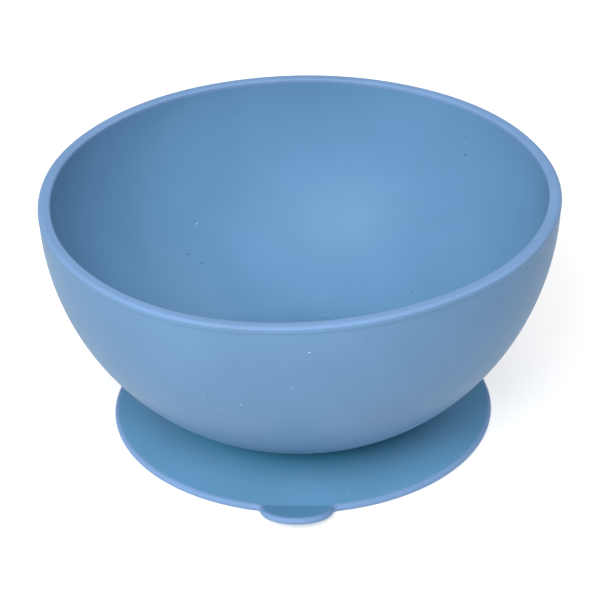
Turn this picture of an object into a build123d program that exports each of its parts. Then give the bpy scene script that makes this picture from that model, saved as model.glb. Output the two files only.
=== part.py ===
"""Suction bowl: a deep silicone bowl on a suction base with a pull tab.

Millimetres. The origin is on the table, on the bowl's axis. +Z is up, and the pull tab points to -Y.
"""

import os
from math import atan, cos, sin

from build123d import *

# Bowl
RIM_RADIUS = 62.5
HEIGHT = 61.1  # table to the top of the rim
WALL = 2.9
RIM_BAND = 1.6  # height of the band round the top of the wall
RIM_STEP = 0.16  # how far the band stands proud of the wall under it
RIM_ROUND = 1.2  # rounding of the rim's outer edge
INNER_ROUND = 0.6  # rounding of the rim's inner edge
UNDERSIDE_Z = 7.0  # flat underside that the hub is bonded to

# The wall's outside is a superellipse, from the rim band down to the arc that ends in the flat underside
WALL_TOP_Z = 60.0
WALL_DEPTH = 59.9
DEPTH_POWER = 1.875
RADIUS_POWER = 2.23
ARC_START_Z = 9.8
WALL_SAMPLES = 9  # points along the superellipse
SAMPLE_POWER = 1.4  # over 1, the points are closer together at the bottom

# Suction base
DISC_RADIUS = 46.4
DISC_EDGE = 1.9  # thickness at the fully rounded edge
HUB_RADIUS = 22.0
HUB_FLARE = 1.0  # the hub widens by this much where it meets the bowl
DISC_TOP_AT_HUB = 4.9
CAVITY_AT_HUB = 3.0  # height of the cavity over the table at the hub
CAVITY_AT_CENTRE = 3.6
LIP_INNER_RADIUS = 39.0
LAND_INNER_RADIUS = 41.0  # the flat sealing face starts here

# Pull tab
CREASE_Y = -45.5  # straight line that the tab bends about
TAB_RADIUS = 8.8
TAB_THICKNESS = 1.85
TAB_EDGE_ROUND = 0.85
TAB_TURNED_UP = 14.0  # degrees
TAB_GAP = 0.3  # between the lip's cut face and the tab's root

EDGE_ROUND = DISC_EDGE / 2
DISC_FLAT_RADIUS = DISC_RADIUS - EDGE_ROUND


def wall_radius(z):
    """Outside radius of the bowl's wall at height z."""
    depth = (WALL_TOP_Z - z) / WALL_DEPTH
    return (RIM_RADIUS - RIM_STEP) * (1 - max(depth, 0) ** DEPTH_POWER) ** (1 / RADIUS_POWER)


def wall_slope(z):
    """Angle of the wall to the horizontal at height z, in radians."""
    step = 0.01
    return atan(2 * step / (wall_radius(z + step) - wall_radius(z - step)))


def wall_point(z, inset):
    """Point (radius, height) that lies inset inside the wall's outside, square to it, at height z."""
    slope = wall_slope(z)
    return wall_radius(z) - inset * sin(slope), z + inset * cos(slope)


def wall_heights(top, bottom):
    """Heights from top to bottom, closer together at the bottom, where the wall curves more."""
    steps = WALL_SAMPLES - 1
    return [bottom + (top - bottom) * (1 - i / steps) ** SAMPLE_POWER for i in range(steps + 1)]


def wall_curve(top, inset):
    """Curve from height top down to the start of the arc, inset inside the wall's outside."""
    points = [wall_point(z, inset) for z in wall_heights(top, ARC_START_Z)]
    slope = wall_slope(ARC_START_Z)
    return Spline(*points, tangents=[(0, -1), (-cos(slope), -sin(slope))])


def floor_arc(inset):
    """Arc that turns the wall into the flat floor, inset inside the outside, and the arc's low end."""
    slope = wall_slope(ARC_START_Z)
    radius = (ARC_START_Z - UNDERSIDE_Z) / (1 - cos(slope))
    centre_r = wall_radius(ARC_START_Z) - radius * sin(slope)
    centre_z = UNDERSIDE_Z + radius
    inside = radius - inset
    start = (centre_r + inside * sin(slope), centre_z - inside * cos(slope))
    middle = (centre_r + inside * sin(slope / 2), centre_z - inside * cos(slope / 2))
    end = (centre_r, centre_z - inside)
    return ThreePointArc(start, middle, end), end


def revolved(*edges):
    """Solid made by turning a closed outline of (radius, height) edges about the Z axis."""
    with BuildPart() as turned:
        with BuildSketch(Plane.XZ):
            with BuildLine():
                for edge in edges:
                    add(edge)
            make_face()
        revolve(axis=Axis.Z)
    return turned.part


def disc_top(radius):
    """Height of the suction disc's conical top at a radius."""
    share = (DISC_FLAT_RADIUS - radius) / (DISC_FLAT_RADIUS - HUB_RADIUS)
    return DISC_EDGE + (DISC_TOP_AT_HUB - DISC_EDGE) * share


def disc_underside(radius):
    """Height of the suction cavity over the table at a radius between the hub and the sealing land."""
    return CAVITY_AT_HUB * (LAND_INNER_RADIUS - radius) / (LAND_INNER_RADIUS - HUB_RADIUS)


def bowl():
    """Shell with a banded, rounded rim and a flat underside."""
    band_bottom = HEIGHT - RIM_BAND
    outer_top = HEIGHT - RIM_ROUND
    inner_top = HEIGHT - INNER_ROUND
    inner_radius = RIM_RADIUS - RIM_STEP - WALL
    outside = wall_curve(band_bottom, 0)
    outside_arc, outside_low = floor_arc(0)
    inside = wall_curve(WALL_TOP_Z, WALL)
    inside_arc, inside_low = floor_arc(WALL)
    edges = [
        Line((RIM_RADIUS, band_bottom), outside @ 0),
        outside,
        outside_arc,
        Line(outside_low, (0, UNDERSIDE_Z)),
        Line((0, UNDERSIDE_Z), (0, inside_low[1])),
        Line((0, inside_low[1]), inside_low),
        inside_arc,
        inside,
        Line(inside @ 0, (inner_radius, inner_top)),
        RadiusArc((inner_radius, inner_top), (inner_radius + INNER_ROUND, HEIGHT), INNER_ROUND),
        Line((inner_radius + INNER_ROUND, HEIGHT), (RIM_RADIUS - RIM_ROUND, HEIGHT)),
        RadiusArc((RIM_RADIUS - RIM_ROUND, HEIGHT), (RIM_RADIUS, outer_top), RIM_ROUND),
        Line((RIM_RADIUS, outer_top), (RIM_RADIUS, band_bottom)),
    ]
    return revolved(*edges)


def base_hub():
    """Short neck and solid middle of the suction base, flared where it meets the bowl."""
    flared = HUB_RADIUS + HUB_FLARE
    flare_start = UNDERSIDE_Z - HUB_FLARE
    outline = [
        Line((0, CAVITY_AT_CENTRE), (HUB_RADIUS, CAVITY_AT_HUB)),
        Line((HUB_RADIUS, CAVITY_AT_HUB), (HUB_RADIUS, flare_start)),
        RadiusArc((HUB_RADIUS, flare_start), (flared, UNDERSIDE_Z), HUB_FLARE),
        Line((flared, UNDERSIDE_Z), (0, UNDERSIDE_Z)),
        Line((0, UNDERSIDE_Z), (0, CAVITY_AT_CENTRE)),
    ]
    return revolved(*outline)


def suction_membrane():
    """Thin conical ring that flexes between the hub and the sealing lip."""
    corners = [
        (HUB_RADIUS, disc_underside(HUB_RADIUS)),
        (LIP_INNER_RADIUS, disc_underside(LIP_INNER_RADIUS)),
        (LIP_INNER_RADIUS, disc_top(LIP_INNER_RADIUS)),
        (HUB_RADIUS, disc_top(HUB_RADIUS)),
    ]
    return revolved(Polyline(*corners, close=True))


def sealing_lip():
    """Outer ring of the disc: flat sealing land, rounded edge, cut straight where the tab starts."""
    inner_low = (LIP_INNER_RADIUS, disc_underside(LIP_INNER_RADIUS))
    inner_high = (LIP_INNER_RADIUS, disc_top(LIP_INNER_RADIUS))
    edge_low = (DISC_FLAT_RADIUS, 0)
    edge_high = (DISC_FLAT_RADIUS, DISC_EDGE)
    ring = revolved(
        Polyline(inner_low, (LAND_INNER_RADIUS, 0), edge_low),
        ThreePointArc(edge_low, (DISC_RADIUS, EDGE_ROUND), edge_high),
        Polyline(edge_high, inner_high, inner_low),
    )
    cut_depth = DISC_RADIUS + CREASE_Y
    cutter = Pos(0, CREASE_Y - cut_depth / 2, 0) * Box(2 * DISC_RADIUS, cut_depth, 4 * DISC_EDGE)
    return ring - cutter


def pull_tab():
    """Half-round tab with a rounded edge, turned up about the crease at its root."""
    slab = Cylinder(TAB_RADIUS, TAB_THICKNESS, align=(Align.CENTER, Align.CENTER, Align.MAX))
    rounded = fillet(slab.edges().filter_by(GeomType.CIRCLE), TAB_EDGE_ROUND)
    keep = Pos(0, -TAB_GAP - TAB_RADIUS, 0) * Box(4 * TAB_RADIUS, 2 * TAB_RADIUS, 4 * TAB_THICKNESS)
    half = rounded & keep
    crease_z = disc_top(-CREASE_Y)
    return Pos(0, CREASE_Y, crease_z) * Rot(-TAB_TURNED_UP, 0, 0) * half


PARTS = {
    "bowl": bowl,
    "base_hub": base_hub,
    "suction_membrane": suction_membrane,
    "sealing_lip": sealing_lip,
    "pull_tab": pull_tab,
}

os.makedirs("parts", exist_ok=True)
for name, make in PARTS.items():
    export_step(make(), f"parts/{name}.step")
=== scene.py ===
"""Suction bowl: the looks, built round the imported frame. Metres, +Z up, the pull tab points to -Y."""

import math

import bpy
from mathutils import Matrix, Vector


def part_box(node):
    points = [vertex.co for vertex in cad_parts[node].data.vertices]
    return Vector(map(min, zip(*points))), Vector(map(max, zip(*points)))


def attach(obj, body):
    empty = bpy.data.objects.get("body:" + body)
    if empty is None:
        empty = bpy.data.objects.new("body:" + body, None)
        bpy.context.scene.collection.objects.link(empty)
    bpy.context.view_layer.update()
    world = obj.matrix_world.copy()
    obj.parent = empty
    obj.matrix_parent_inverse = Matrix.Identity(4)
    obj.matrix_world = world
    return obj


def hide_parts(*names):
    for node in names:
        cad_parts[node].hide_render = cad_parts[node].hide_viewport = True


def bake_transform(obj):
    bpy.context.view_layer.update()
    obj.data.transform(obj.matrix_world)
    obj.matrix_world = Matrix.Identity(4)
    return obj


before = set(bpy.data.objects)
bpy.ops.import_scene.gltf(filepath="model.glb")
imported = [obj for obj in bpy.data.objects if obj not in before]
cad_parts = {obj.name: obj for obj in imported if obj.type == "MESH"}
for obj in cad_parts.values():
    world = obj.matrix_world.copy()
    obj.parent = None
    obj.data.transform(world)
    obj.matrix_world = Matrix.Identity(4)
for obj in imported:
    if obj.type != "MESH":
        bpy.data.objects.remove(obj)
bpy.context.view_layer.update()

MM = 0.001
BASE_BODY, BOWL_BODY, TAB_BODY = "lip_ring", "bowl_and_hub", "tab"

# Sizes read from the frame
bowl_low, bowl_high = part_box("bowl")
lip_low, lip_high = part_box("sealing_lip")
membrane_low, membrane_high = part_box("suction_membrane")
hub_low, hub_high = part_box("base_hub")
RIM_RADIUS = bowl_high.x
HEIGHT = bowl_high.z
UNDERSIDE_Z = bowl_low.z
DISC_RADIUS = lip_high.x
CREASE_Y = lip_low.y
LIP_INNER_RADIUS = membrane_high.x
HUB_TOP_RADIUS = hub_high.x
CAVITY_AT_HUB = hub_low.z
DISC_TOP_AT_HUB = membrane_high.z

# Bowl wall
WALL = 2.9 * MM
RIM_BAND = 1.6 * MM
RIM_STEP = 0.16 * MM
RIM_ROUND = 1.2 * MM
INNER_ROUND = 0.6 * MM
WALL_TOP_Z = 60.0 * MM
WALL_DEPTH = 59.9 * MM
DEPTH_POWER = 1.875
RADIUS_POWER = 2.23
ARC_START_Z = 9.8 * MM

# Softened step at the foot of the rim's band: one point out from the wall, then three in from the band's side
# The second number of each point is how far it stands over the foot
STEP_OFF_WALL = (0.02 * MM, -0.03 * MM)
STEP_OFF_BAND = ((0.09 * MM, 0.0), (0.02 * MM, 0.07 * MM), (0.0, 0.16 * MM))
STEP_GAP = 0.12 * MM  # the plain wall stops this far under the foot

# The soft wall is a little out of round
# Each wave is its crests round the rim, how far the rim sinks at a crest, and the azimuth of one crest
RIM_WAVES = ((2, 0.30 * MM, -38), (3, 0.04 * MM, -20), (4, 0.04 * MM, -27), (9, 0.006 * MM, 15))
BEND_POWER = 1.2

# Suction base
DISC_EDGE = 1.9 * MM
EDGE_ROUND = DISC_EDGE / 2
HUB_FLARE = 1.0 * MM
HUB_RADIUS = HUB_TOP_RADIUS - HUB_FLARE
HIDDEN_RADIUS = 0.6 * HUB_RADIUS  # inner side of the neck's closed skin
NECK_FILLET = 0.7 * MM
NECK_FILLET_REACH = 0.9 * NECK_FILLET  # how far it reaches over the disc's sloping top
NECK_FILLET_START = -1.70  # radians, square to the disc's sloping top
CAVITY_AT_CENTRE = 3.6 * MM
LAND_INNER_RADIUS = 41.0 * MM

# Pull tab
TAB_RADIUS = 8.8 * MM
TAB_TURNED_UP = math.radians(14)
TAB_FILLET = 1.2 * MM
CREASE_HALF_ANGLE = 0.19  # radians, from the tab's middle to about the end of its crease

# Off the tab, the row of points on the crease goes on at an inset from the edge, which grows with the angle
INSET_LEAST = 0.03 * MM
INSET_MOST_ADDED = 3.0 * MM
INSET_PER_RADIAN = 6.0 * MM

SHARP_ANGLE = math.radians(50)  # faces that meet at more than this have a sharp edge

# Fineness of the meshes, in points or steps. A spread over 1 draws the points together at one end
ROUND_SEGMENTS = 384
WALL_POINTS, WALL_SPREAD = 72, 1.3
FLOOR_ARC_POINTS = 24
FLAT_POINTS = 12
OUTER_ROUND_POINTS, INNER_ROUND_POINTS = 12, 9
MEMBRANE_STEPS = 28
NECK_POINTS = 7
ROOF_STEPS = 14
TAB_STEPS, FILLET_STEPS, DISC_STEPS = 40, 10, 170
EDGE_STEPS = 12  # round the lip's edge
OUTER_STEPS, OUTER_SPREAD = 14, 1.6  # from there in to the crease
INNER_STEPS, INNER_SPREAD = 8, 1.3  # from the crease in to the membrane
CAVITY_STEPS, LAND_STEPS = 3, 6  # and underneath, out to the sealing land and on to the crease

# Where the paler edge finish starts, in points up the rim's outer rounding and steps up the disc's edge. Its
# paler colour is a painted highlight
RIM_HIGHLIGHT_START = 4
DISC_HIGHLIGHT_START = 2

# Silicone's surface, with scales per metre
CLOUD_SCALE = 45
CLOUD_CONTRAST = 0.045
LINT = (250, 0.26 * MM, 0.07, (0.45, 0.55, 0.68))  # scale, size, share of the cells with a speck, colour
DIRT = (300, 0.32 * MM, 0.16, (0.03, 0.08, 0.14))
GRAIN_SCALE, GRAIN_DEPTH = 5200, 0.02 * MM
WAVE_SCALE, WAVE_DEPTH = 130, 0.25 * MM
# Painted shade under the bowl: the base's colour turns deeper teal from the first radius in to the second,
# towards the neck
NECK_SHADE_STARTS = HUB_RADIUS + 14 * MM
NECK_SHADE_FULL = HUB_RADIUS + 3 * MM

# Sockets of a colour mix, which share their names with its other kinds
COLOUR_A, COLOUR_B, MIXED_COLOUR = 6, 7, 2

# Lamps, all of one size at one distance: azimuth from the tab, elevation, power
LAMP_SIZE = 0.9
LAMP_DISTANCE = 1.4
LAMPS = {
    "key": (-22, 42, 17.8),
    "key_low": (-45, 30, 6.3),
    "left": (-100, 15, 3.7),
    "front": (15, 40, 7.1),
    "right": (100, 40, 5.5),
    "back_right": (130, 50, 2.9),
    "back_left": (-130, 40, 1.2),
    "top": (0, 88, 2.3),
}

# Floor and surroundings
FLOOR_HALF = 4.0
PAPER_GREY = 0.55
PAPER_GLOW = 0.5
WORLD_STRENGTH = 0.15

# Camera: azimuth from the tab, elevation and roll in degrees
CAMERA_AZIMUTH, CAMERA_ELEVATION, CAMERA_ROLL = 2.4, 28.78, -1.0836
CAMERA_DISTANCE = 12.5 * RIM_RADIUS  # from the middle of the rim
CAMERA_AIM = (0.262 * MM, -12.733 * MM, 38.791 * MM)
CAMERA_LENS = 196.9


def new_object(name, vertices, faces, material):
    """Mesh object with smooth shading and one material."""
    mesh = bpy.data.meshes.new(name)
    mesh.from_pydata(vertices, [], faces)
    mesh.validate()
    mesh.polygons.foreach_set("use_smooth", [True] * len(mesh.polygons))
    mesh.set_sharp_from_angle(angle=SHARP_ANGLE)
    mesh.materials.append(material)
    made = bpy.data.objects.new(name, mesh)
    bpy.context.scene.collection.objects.link(made)
    return made


def loft(name, rings, material, closed_through=False):
    """Mesh over rings of equally many points, where a ring of one point is a pole.

    closed_through joins the last ring to the first."""
    vertices = []
    starts = []
    for ring in rings:
        starts.append(len(vertices))
        vertices.extend(ring)
    faces = []
    pairs = [(i, i + 1) for i in range(len(rings) - 1)]
    if closed_through:
        pairs.append((len(rings) - 1, 0))
    count = max(len(ring) for ring in rings)
    for a, b in pairs:
        for i in range(count):
            j = (i + 1) % count
            if len(rings[a]) == 1:
                faces.append((starts[a], starts[b] + j, starts[b] + i))
            elif len(rings[b]) == 1:
                faces.append((starts[a] + i, starts[a] + j, starts[b]))
            else:
                faces.append((starts[a] + i, starts[a] + j, starts[b] + j, starts[b] + i))
    return new_object(name, vertices, faces, material)


def paint(piece, material, around, first, last):
    """Gives the faces between two rings of a loft another material. Each ring has around points."""
    piece.data.materials.append(material)
    slot = len(piece.data.materials) - 1
    for face in piece.data.polygons[first * around : last * around]:
        face.material_index = slot


def circle(radius, height):
    """Ring of points about Z, or one point where the radius is 0."""
    if radius < 1e-7:
        return [(0.0, 0.0, height)]
    angles = [2 * math.pi * i / ROUND_SEGMENTS for i in range(ROUND_SEGMENTS)]
    return [(radius * math.sin(a), -radius * math.cos(a), height) for a in angles]


def turned(name, profile, material, closed_through=False):
    """Surface of revolution of a (radius, height) profile about Z."""
    return loft(name, [circle(r, z) for r, z in profile], material, closed_through)


def spaced(start, end, count):
    """count points from start to end, both included."""
    return [
        tuple(a + (b - a) * i / (count - 1) for a, b in zip(start, end))
        for i in range(count)
    ]


def arc(centre, radius, first, last, count):
    """count points (r, z) on an arc. Angles in radians from the outward horizontal, counter-clockwise."""
    angles = [first + (last - first) * i / (count - 1) for i in range(count)]
    return [(centre[0] + radius * math.cos(a), centre[1] + radius * math.sin(a)) for a in angles]


# ---------------------------------------------------------------- bowl


def wall_radius(z):
    """Outside radius of the wall at height z."""
    depth = max((WALL_TOP_Z - z) / WALL_DEPTH, 0)
    return (RIM_RADIUS - RIM_STEP) * (1 - depth**DEPTH_POWER) ** (1 / RADIUS_POWER)


def wall_slope(z):
    """Angle of the wall to the horizontal at height z, in radians."""
    step = 0.01 * MM
    return math.atan(2 * step / max(wall_radius(z + step) - wall_radius(z - step), 1e-12))


def wall_point(z, inset):
    """Point of the wall at height z, moved square to the wall by inset."""
    slope = wall_slope(z)
    return wall_radius(z) - inset * math.sin(slope), z + inset * math.cos(slope)


def wall_run(top, inset):
    """Points down the wall from height top to the start of the floor arc."""
    shares = [(1 - i / (WALL_POINTS - 1)) ** WALL_SPREAD for i in range(WALL_POINTS)]
    return [wall_point(ARC_START_Z + (top - ARC_START_Z) * share, inset) for share in shares]


def floor_run(inset):
    """Points along the arc that turns the wall into the flat floor, from the wall inwards."""
    slope = wall_slope(ARC_START_Z)
    radius = (ARC_START_Z - UNDERSIDE_Z) / (1 - math.cos(slope))
    centre = (wall_radius(ARC_START_Z) - radius * math.sin(slope), UNDERSIDE_Z + radius)
    down = -math.pi / 2
    return arc(centre, radius - inset, down + slope, down, FLOOR_ARC_POINTS)[1:]


def band_step():
    """Points of the softened step from the wall out to the rim's band."""
    foot = HEIGHT - RIM_BAND
    outwards, upwards = STEP_OFF_WALL
    points = [(wall_radius(foot) + outwards, foot + upwards)]
    for inwards, upwards in STEP_OFF_BAND:
        points.append((RIM_RADIUS - inwards, foot + upwards))
    return points


def bend_wall(point):
    """Bends the thin wall without stretching it.

    Where a wave of n crests leans it out by n parts, it sinks by one."""
    reach = max(0.0, (point.z - UNDERSIDE_Z) / (HEIGHT - UNDERSIDE_Z)) ** BEND_POWER
    azimuth = math.atan2(point.x, -point.y)
    radius = math.hypot(point.x, point.y)
    outwards = 0.0
    for crests, fall, crest_azimuth in RIM_WAVES:
        wave = reach * fall * math.cos(crests * (azimuth - math.radians(crest_azimuth)))
        outwards += crests * wave
        point.z -= wave
    if radius > 0:
        point.x *= 1 + outwards / radius
        point.y *= 1 + outwards / radius


def bowl_profile():
    """(radius, height) from the middle of the underside up the outside, over the rim and down to the floor.

    Three runs, one for each finish."""
    outer_wall = wall_run(HEIGHT - RIM_BAND - STEP_GAP, 0) + floor_run(0)
    inner_wall = wall_run(WALL_TOP_Z, WALL) + floor_run(WALL)
    underside = spaced((0, UNDERSIDE_Z), (outer_wall[-1][0], UNDERSIDE_Z), FLAT_POINTS)[:-1]
    outer_centre = (RIM_RADIUS - RIM_ROUND, HEIGHT - RIM_ROUND)
    outer_round = arc(outer_centre, RIM_ROUND, 0, math.pi / 2, OUTER_ROUND_POINTS)
    inner_centre = (RIM_RADIUS - RIM_STEP - WALL + INNER_ROUND, HEIGHT - INNER_ROUND)
    inner_round = arc(inner_centre, INNER_ROUND, math.pi / 2, math.pi, INNER_ROUND_POINTS)
    floor_r, floor_z = inner_wall[-1]
    inner_floor = spaced((floor_r, floor_z), (0, floor_z), FLAT_POINTS)[1:]
    side = underside + outer_wall[::-1] + band_step() + outer_round[:RIM_HIGHLIGHT_START]
    edge = outer_round[RIM_HIGHLIGHT_START:] + inner_round
    return side, edge, inner_wall + inner_floor


def make_bowl(outer_reflection_finish, edge_highlight_finish, inner_finish):
    """The bowl's shell, a little out of round at the rim."""
    side, edge, inside = bowl_profile()
    # The outside finish's greyer blue holds a painted whitish reflection on the outer wall
    shell = turned("bowl_shell", side + edge + inside, outer_reflection_finish)
    edge_end = len(side) + len(edge)
    # The rim's upper rounding gets the paler edge finish, a painted highlight
    paint(shell, edge_highlight_finish, ROUND_SEGMENTS, len(side), edge_end)
    paint(shell, inner_finish, ROUND_SEGMENTS, edge_end, edge_end + len(inside))
    for vertex in shell.data.vertices:
        bend_wall(vertex.co)
    return shell


# ---------------------------------------------------------------- suction base


def disc_top(radius):
    """Height of the disc's conical top."""
    flat_radius = DISC_RADIUS - EDGE_ROUND
    share = max(0.0, flat_radius - radius) / (flat_radius - HUB_RADIUS)
    return DISC_EDGE + (DISC_TOP_AT_HUB - DISC_EDGE) * share


def disc_underside(radius):
    """Height of the cavity over the table between the hub and the sealing land."""
    return max(0.0, CAVITY_AT_HUB * (LAND_INNER_RADIUS - radius) / (LAND_INNER_RADIUS - HUB_RADIUS))


def membrane_run(height_at):
    """Points from the lip in to the hub, at the height that height_at gives for each radius."""
    radii = [
        LIP_INNER_RADIUS + (HUB_RADIUS - LIP_INNER_RADIUS) * i / MEMBRANE_STEPS
        for i in range(MEMBRANE_STEPS + 1)
    ]
    return [(r, height_at(r)) for r in radii]


def disc_middle(radius):
    """Height of the middle of the disc's thickness."""
    return (disc_top(radius) + disc_underside(radius)) / 2


def make_base_top(material):
    """Neck and the top of the flexing membrane, a closed skin down to the middle of the disc's thickness."""
    top = [p for p in membrane_run(disc_top) if p[0] > HUB_RADIUS + NECK_FILLET_REACH]
    fillet_centre = (HUB_RADIUS + NECK_FILLET, disc_top(HUB_RADIUS) + NECK_FILLET_REACH)
    neck_low = arc(fillet_centre, NECK_FILLET, NECK_FILLET_START, -math.pi, NECK_POINTS)
    flare_centre = (HUB_TOP_RADIUS, UNDERSIDE_Z - HUB_FLARE)
    neck_high = arc(flare_centre, HUB_FLARE, math.pi, math.pi / 2, NECK_POINTS)
    middle = membrane_run(disc_middle)
    hidden = [(HIDDEN_RADIUS, UNDERSIDE_Z), (HIDDEN_RADIUS, middle[-1][1])]
    profile = top + neck_low + neck_high + hidden + middle[::-1]
    return turned("base_top", profile, material, closed_through=True)


def make_base_cavity(material):
    """Suction cavity's roof and the membrane's underside, closed at the middle of the disc's thickness."""
    middle = membrane_run(disc_middle)
    roof = []
    for i in range(1, ROOF_STEPS + 1):
        share = i / ROOF_STEPS
        height = CAVITY_AT_HUB + (CAVITY_AT_CENTRE - CAVITY_AT_HUB) * math.sin(share * math.pi / 2)
        roof.append((HUB_RADIUS * (1 - share), height))
    profile = [(0, middle[-1][1])] + middle[::-1] + membrane_run(disc_underside) + roof
    return turned("base_cavity", profile, material)


def outline_samples():
    """Plan of the disc and tab as (centre, direction, radius, side) samples, once round from the tab's tip.

    A point moved inwards by d is centre + direction * (radius - side * d)."""
    disc_centre = Vector((0, 0))
    tab_centre = Vector((0, CREASE_Y))
    to_fillet = DISC_RADIUS + TAB_FILLET
    tab_to_fillet = TAB_RADIUS + TAB_FILLET
    apart = abs(CREASE_Y)
    turn = math.acos((to_fillet**2 + apart**2 - tab_to_fillet**2) / (2 * to_fillet * apart))
    fillet_centre = Vector((math.sin(turn), -math.cos(turn))) * to_fillet
    to_tab = (tab_centre - fillet_centre).normalized()
    to_disc = (disc_centre - fillet_centre).normalized()
    tab_end = math.atan2(-to_tab.x, to_tab.y)
    half = []
    for i in range(TAB_STEPS):
        angle = tab_end * i / TAB_STEPS
        half.append((tab_centre, Vector((math.sin(angle), -math.cos(angle))), TAB_RADIUS, 1))
    first = math.atan2(to_tab.y, to_tab.x)
    last = math.atan2(to_disc.y, to_disc.x)
    sweep = (last - first + math.pi) % (2 * math.pi) - math.pi
    for i in range(FILLET_STEPS):
        angle = first + sweep * i / FILLET_STEPS
        half.append((fillet_centre, Vector((math.cos(angle), math.sin(angle))), TAB_FILLET, -1))
    for i in range(DISC_STEPS + 1):
        angle = turn + (math.pi - turn) * i / DISC_STEPS
        half.append((disc_centre, Vector((math.sin(angle), -math.cos(angle))), DISC_RADIUS, 1))
    mirrored = [
        (Vector((-c.x, c.y)), Vector((-d.x, d.y)), r, side)
        for c, d, r, side in half[1:-1]
    ]
    return half + mirrored[::-1]


def tab_lift(point):
    """How far the turned-up tab has risen over the crease at a plan point."""
    return max(0.0, CREASE_Y - point.y) * math.tan(TAB_TURNED_UP)


def top_height(point):
    """Top of the disc, or of the tab outside the crease, at a plan point."""
    if point.y >= CREASE_Y:
        return disc_top(point.length)
    return disc_top(Vector((point.x, CREASE_Y)).length) + tab_lift(point)


def bottom_height(point):
    """Underside of the lip, or of the tab outside the crease, at a plan point."""
    if point.y >= CREASE_Y:
        return disc_underside(point.length)
    return max(0.0, top_height(point) - DISC_EDGE)


def shortened(point):
    """Plan point with the tab's tilt taken off its length."""
    if point.y >= CREASE_Y:
        return point
    return Vector((point.x, CREASE_Y + (point.y - CREASE_Y) * math.cos(TAB_TURNED_UP)))


def crease_point(tangent):
    """Point of the crease on the way in from an edge point. Off the tab it is a point at an inset."""
    ray = tangent.normalized()
    if tangent.y < CREASE_Y:
        return ray * (CREASE_Y / ray.y)
    off_crease = max(0.0, math.atan2(abs(ray.x), -ray.y) - CREASE_HALF_ANGLE)
    inset = INSET_LEAST + min(INSET_MOST_ADDED, INSET_PER_RADIAN * off_crease)
    return ray * (tangent.length - inset)


def lip_section(centre, direction, radius, side):
    """Section of the lip or tab at one outline sample: up the edge, in over the top, and out underneath."""

    def moved_in(depth):
        return shortened(centre + direction * (radius - side * depth))

    tangent = moved_in(EDGE_ROUND)
    ray = tangent.normalized()
    crease = crease_point(tangent)
    inner = ray * LIP_INNER_RADIUS
    land = ray * LAND_INNER_RADIUS
    section = []
    middle = top_height(tangent) - EDGE_ROUND
    for i in range(EDGE_STEPS + 1):
        beta = math.pi * (i / EDGE_STEPS - 0.5)
        plan = moved_in(EDGE_ROUND * (1 - math.cos(beta)))
        height = middle + tab_lift(plan) - tab_lift(tangent) + EDGE_ROUND * math.sin(beta)
        section.append((plan.x, plan.y, height))
    over = [
        tangent.lerp(crease, 1 - (1 - i / OUTER_STEPS) ** OUTER_SPREAD)
        for i in range(1, OUTER_STEPS + 1)
    ]
    over += [crease.lerp(inner, (i / INNER_STEPS) ** INNER_SPREAD) for i in range(1, INNER_STEPS + 1)]
    section += [(plan.x, plan.y, top_height(plan)) for plan in over]
    under = [inner.lerp(land, i / CAVITY_STEPS) for i in range(CAVITY_STEPS + 1)]
    under += [land.lerp(crease, i / LAND_STEPS) for i in range(1, LAND_STEPS + 1)]
    under += [crease.lerp(tangent, (i / OUTER_STEPS) ** OUTER_SPREAD) for i in range(1, OUTER_STEPS)]
    section += [(plan.x, plan.y, bottom_height(plan)) for plan in under]
    return section


def make_lip_and_tab(finish, edge_highlight_finish):
    """Sealing lip and pull tab as one skin: rounded edge all round, straight crease at the tab's root."""
    sections = [lip_section(*sample) for sample in outline_samples()]
    rings = [list(ring) for ring in zip(*sections)]
    skin = loft("lip_and_tab", rings, finish, closed_through=True)
    # The disc's rounded edge gets the paler edge finish, a painted highlight
    paint(skin, edge_highlight_finish, len(sections), DISC_HIGHLIGHT_START, EDGE_STEPS)
    return skin


# ---------------------------------------------------------------- materials


def add_node(tree, kind, inputs, **settings):
    """New node of a kind. Each input is given a plain value, or the socket that it comes from."""
    node = tree.nodes.new(kind)
    for setting, value in settings.items():
        setattr(node, setting, value)
    for key, value in inputs.items():
        if isinstance(value, bpy.types.NodeSocket):
            tree.links.new(value, node.inputs[key])
        else:
            node.inputs[key].default_value = value
    return node


def noise(tree, place, scale, detail, roughness):
    """Soft noise at a place, with scale in waves per metre."""
    inputs = {"Vector": place, "Scale": scale, "Detail": detail, "Roughness": roughness}
    return add_node(tree, "ShaderNodeTexNoise", inputs).outputs["Fac"]


def clouded(tree, place, colour):
    """Colour that drifts a little darker and lighter."""
    drift = noise(tree, place, CLOUD_SCALE, detail=3, roughness=0.5)
    ramp = add_node(tree, "ShaderNodeValToRGB", {"Fac": drift})
    stops = ((0.3, 1 - CLOUD_CONTRAST), (0.7, 1 + CLOUD_CONTRAST))
    for element, (position, brightness) in zip(ramp.color_ramp.elements, stops):
        element.position = position
        element.color = (*(c * brightness for c in colour), 1)
    return ramp.outputs["Color"]


def mixed(tree, share, under, over):
    """Colour of the socket under, with the plain colour over on top where share is 1."""
    inputs = {"Factor": share, COLOUR_A: under, COLOUR_B: (*over, 1)}
    return add_node(tree, "ShaderNodeMix", inputs, data_type="RGBA").outputs[MIXED_COLOUR]


def towards_neck_shade(tree, place):
    """Mask of the painted shade under the bowl: 0 on the thin part of the disc, rising to 1 near the neck."""
    flat = add_node(tree, "ShaderNodeVectorMath", {0: place, 1: (1, 1, 0)}, operation="MULTIPLY")
    radius = add_node(tree, "ShaderNodeVectorMath", {0: flat.outputs["Vector"]}, operation="LENGTH")
    inputs = {"Value": radius.outputs["Value"], "From Min": NECK_SHADE_STARTS, "From Max": NECK_SHADE_FULL}
    return add_node(tree, "ShaderNodeMapRange", inputs, interpolation_type="SMOOTHSTEP").outputs["Result"]


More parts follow.
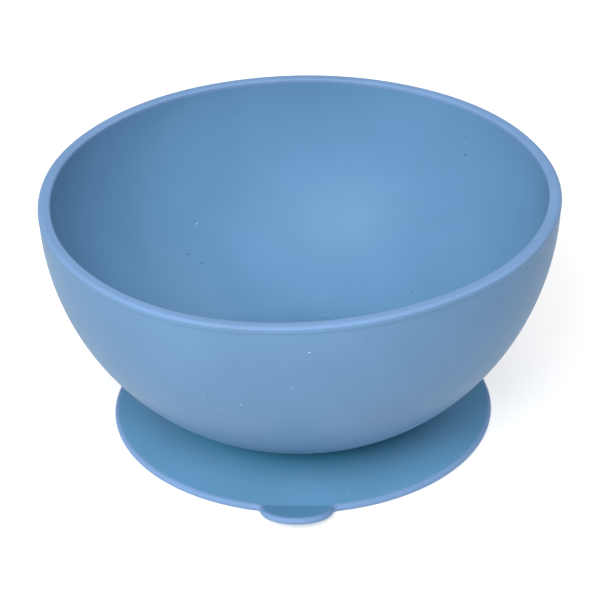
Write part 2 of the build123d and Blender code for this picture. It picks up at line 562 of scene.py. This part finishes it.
def speckled(tree, place, under, kind, dust):
    """Colour of the socket under, with round specks of lint or dirt in some cells of a grid over it."""
    scale, size, share, colour = kind
    cells = add_node(tree, "ShaderNodeTexVoronoi", {"Vector": place, "Scale": scale})
    fade = {"Value": cells.outputs["Distance"], "From Min": size * scale, "From Max": size * scale * 0.5}
    near = add_node(tree, "ShaderNodeMapRange", fade).outputs["Result"]
    pick = add_node(tree, "ShaderNodeSeparateColor", {"Color": cells.outputs["Color"]}).outputs["Red"]
    chosen = add_node(tree, "ShaderNodeMath", {0: pick, 1: share * dust}, operation="LESS_THAN")
    both = add_node(tree, "ShaderNodeMath", {0: near, 1: chosen.outputs["Value"]}, operation="MULTIPLY")
    return mixed(tree, both.outputs["Value"], under, colour)


def rough_surface(tree, place):
    """Normal of the fine mould grain with the moulding's soft waves over it."""
    fine = noise(tree, place, GRAIN_SCALE, detail=3, roughness=0.6)
    grain = add_node(tree, "ShaderNodeBump", {"Height": fine, "Strength": 0.35, "Distance": GRAIN_DEPTH})
    soft = noise(tree, place, WAVE_SCALE, detail=2, roughness=0.5)
    inputs = {"Height": soft, "Strength": 0.25, "Distance": WAVE_DEPTH, "Normal": grain.outputs["Normal"]}
    return add_node(tree, "ShaderNodeBump", inputs).outputs["Normal"]


def silicone(name, colour, roughness, specular, dust, neck_shade_colour=None):
    """Matte moulded silicone: faint cloudiness, fine mould grain, soft waviness and a few specks of dust.

    The neck's colour argument is painted shade: a deeper teal blended into the base near the neck, where the
    bowl shades the disc."""
    material = bpy.data.materials.new(name)
    material.use_nodes = True
    tree = material.node_tree
    shader = tree.nodes["Principled BSDF"]
    shader.inputs["Roughness"].default_value = roughness
    shader.inputs["IOR"].default_value = 1.45
    shader.inputs["Specular IOR Level"].default_value = specular
    place = add_node(tree, "ShaderNodeTexCoord", {}).outputs["Object"]
    tone = clouded(tree, place, colour)
    # Painted shade: a deeper teal near the neck, in the crevice under the bowl
    if neck_shade_colour:
        tone = mixed(tree, towards_neck_shade(tree, place), tone, neck_shade_colour)
    tone = speckled(tree, place, tone, LINT, dust)
    tone = speckled(tree, place, tone, DIRT, dust)
    tree.links.new(tone, shader.inputs["Base Color"])
    tree.links.new(rough_surface(tree, place), shader.inputs["Normal"])
    return material


def floor_material():
    """Plain white paper. Its faint glow keeps it white next to the bowl."""
    material = bpy.data.materials.new("white_paper")
    material.use_nodes = True
    shader = material.node_tree.nodes["Principled BSDF"]
    shader.inputs["Base Color"].default_value = (PAPER_GREY, PAPER_GREY, PAPER_GREY, 1)
    shader.inputs["Emission Color"].default_value = (1, 1, 1, 1)
    shader.inputs["Emission Strength"].default_value = PAPER_GLOW
    shader.inputs["Roughness"].default_value = 0.9
    shader.inputs["Specular IOR Level"].default_value = 0.1
    return material


# ---------------------------------------------------------------- stage


def direction_to(azimuth, elevation):
    """Unit vector out from the bowl at an azimuth from the tab and an elevation, in degrees."""
    a, e = math.radians(azimuth), math.radians(elevation)
    return Vector((math.sin(a) * math.cos(e), -math.cos(a) * math.cos(e), math.sin(e)))


def make_floor():
    """Large plain floor at the table's height."""
    signs = ((-1, -1), (1, -1), (1, 1), (-1, 1))
    corners = [(x * FLOOR_HALF, y * FLOOR_HALF, 0) for x, y in signs]
    floor = new_object("floor", corners, [(0, 1, 2, 3)], floor_material())


def make_light(name, azimuth, elevation, power):
    """Round area light aimed at the bowl, from an azimuth and elevation in degrees."""
    light = bpy.data.lights.new(name, "AREA")
    light.shape = "DISK"
    light.size = LAMP_SIZE
    light.energy = power
    lamp = bpy.data.objects.new(name, light)
    back = direction_to(azimuth, elevation)
    target = Vector((0, 0, HEIGHT / 2))
    lamp.location = target + back * LAMP_DISTANCE
    lamp.rotation_euler = (-back).to_track_quat("-Z", "Y").to_euler()
    bpy.context.scene.collection.objects.link(lamp)


def make_world():
    """Even, dim white surroundings."""
    world = bpy.data.worlds.new("studio")
    world.use_nodes = True
    background = world.node_tree.nodes["Background"]
    background.inputs["Color"].default_value = (1, 1, 1, 1)
    background.inputs["Strength"].default_value = WORLD_STRENGTH
    bpy.context.scene.world = world


def make_camera():
    """Long lens from in front and above, a little to the right of the tab."""
    data = bpy.data.cameras.new("camera")
    data.sensor_width = 36
    data.lens = CAMERA_LENS
    data.clip_start = 0.05
    data.clip_end = 20
    camera = bpy.data.objects.new("camera", data)
    rim_centre = Vector((0, 0, HEIGHT))
    camera.location = rim_centre + direction_to(CAMERA_AZIMUTH, CAMERA_ELEVATION) * CAMERA_DISTANCE
    look = (Vector(CAMERA_AIM) - camera.location).to_track_quat("-Z", "Y").to_matrix().to_4x4()
    roll = Matrix.Rotation(math.radians(CAMERA_ROLL), 4, "Z")
    camera.rotation_euler = (look @ roll).to_euler()
    bpy.context.scene.collection.objects.link(camera)
    bpy.context.scene.camera = camera


# ---------------------------------------------------------------- assembly

# Outside: the silicone's blue, made greyer than the inside as a painted whitish reflection of the bright
# floor on the outer wall
outer_reflection_finish = silicone("silicone_outside_painted_reflection", (0.102, 0.197, 0.329), roughness=0.42, specular=0.1, dust=1.0)
# Edges: the silicone's blue made paler, a painted highlight on the rim's upper rounding and the disc's edge
edge_highlight_finish = silicone("silicone_edges_painted_highlight", (0.138, 0.240, 0.415), roughness=0.42, specular=0.1, dust=0.5)
inner_finish = silicone("silicone_inside", (0.104, 0.224, 0.376), roughness=0.30, specular=0.08, dust=0.4)
# Base: the silicone's blue, turning deeper teal near the neck as painted shade in the crevice under the bowl
base_finish = silicone(
    "silicone_base",
    (0.094, 0.235, 0.387),
    roughness=0.42,
    specular=0.1,
    dust=0.4,
    neck_shade_colour=(0.068, 0.308, 0.480),
)

bowl = make_bowl(outer_reflection_finish, edge_highlight_finish, inner_finish)
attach(bowl, BOWL_BODY)
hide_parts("bowl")

base_top = make_base_top(base_finish)
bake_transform(base_top)
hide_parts("base_hub", "suction_membrane")

base_cavity = make_base_cavity(base_finish)
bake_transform(base_cavity)

lip_and_tab = make_lip_and_tab(base_finish, edge_highlight_finish)
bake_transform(lip_and_tab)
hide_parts("sealing_lip", "pull_tab")

make_floor()
make_world()
for lamp_name, (lamp_azimuth, lamp_elevation, lamp_power) in LAMPS.items():
    make_light(lamp_name, lamp_azimuth, lamp_elevation, lamp_power)
make_camera()

bpy.context.scene.view_settings.view_transform = "Standard"
